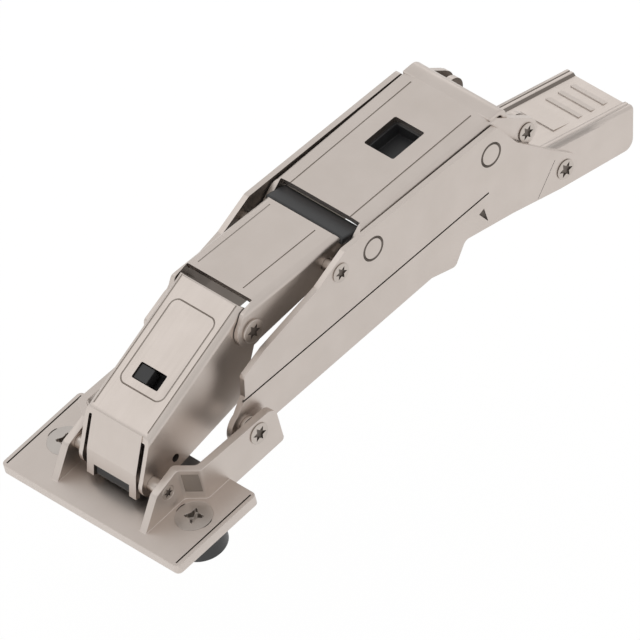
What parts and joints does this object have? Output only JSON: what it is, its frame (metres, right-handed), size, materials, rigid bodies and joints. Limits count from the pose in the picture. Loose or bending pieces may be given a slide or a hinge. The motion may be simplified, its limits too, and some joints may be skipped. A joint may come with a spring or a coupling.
{
  "type": "concealed cabinet hinge with flat door plate",
  "caption": "Wide-angle concealed cabinet hinge: a folding link between a mounting rail and a flat screw-on door plate with dowels.",
  "frame": {"origin": "on the rail's seat, on the centre line, straight under the main pivot", "axes": "+X along the mounting rail towards the back of the cabinet, +Y along the pivots, +Z away from the cabinet side"},
  "size_m": [0.1273, 0.044, 0.0509],
  "materials": {
    "nickel_sheet": "nickel-plated pressed steel, satin",
    "nickel_pin": "nickel-plated steel pins, peened",
    "screw_steel": "nickel-plated countersunk screws",
    "black_moulding": "black moulded plastic"
  },
  "bodies": {
    "rail": {"rail_arm": "nickel_sheet", "rail_hook": "nickel_sheet", "hook_pin": "nickel_pin", "main_pin": "nickel_pin", "cover_pin": "nickel_pin"},
    "cheeks": {"near_cheek": "nickel_sheet", "far_cheek": "nickel_sheet", "tip_bosses": "nickel_pin", "link_pin": "nickel_pin"},
    "cover": {"cover": "nickel_sheet", "cover_insert": "black_moulding", "knuckle_bosses": "black_moulding"},
    "middle": {"middle_link": "nickel_sheet", "knuckle_pin": "nickel_pin", "knuckle_bar": "black_moulding", "box_pin": "nickel_pin"},
    "box": {"damper_box": "nickel_sheet", "damper_housing": "black_moulding"},
    "switch": {"switch_slider": "black_moulding"},
    "door": {"door_plate": "nickel_sheet", "door_pin": "nickel_pin", "lever_rivets": "nickel_pin", "plate_screws": "screw_steel", "dowels": "black_moulding"}
  },
  "joints": [
    {"name": "main_pivot", "type": "hinge", "parent": "rail", "child": "cheeks", "pos_m": [0, 0, 0.00775], "axis": [0, 1, 0], "range_deg": [0, 21.91]},
    {"name": "cover_pivot", "type": "hinge", "parent": "rail", "child": "cover", "pos_m": [-0.0083, 0, 0.01905], "axis": [0, 1, 0], "range_deg": [0, 21.95]},
    {"name": "link_pivot", "type": "hinge", "parent": "cheeks", "child": "middle", "pos_m": [-0.0561, 0, 0.01335], "axis": [0, 1, 0], "range_deg": [0, 85.89]},
    {"name": "box_pivot", "type": "hinge", "parent": "middle", "child": "box", "pos_m": [-0.0745, 0, 0.00845], "axis": [0, 1, 0], "range_deg": [-85.17, 0]},
    {"name": "door_pivot", "type": "hinge", "parent": "box", "child": "door", "pos_m": [-0.0979, 0, -0.01315], "axis": [0, 1, 0], "range_deg": [0, 83.48]},
    {"name": "damper_switch", "type": "slide", "parent": "box", "child": "switch", "axis": [0, -1, 0], "range_m": [0, 0.003]}
  ],
  "couplings": [
    {"joint": "cover_pivot", "follows": "main_pivot", "ratio": 1.0014},
    {"joint": "link_pivot", "follows": "main_pivot", "ratio": 3.9197},
    {"joint": "box_pivot", "follows": "main_pivot", "ratio": -3.8868},
    {"joint": "door_pivot", "follows": "main_pivot", "ratio": 3.8097}
  ]
}
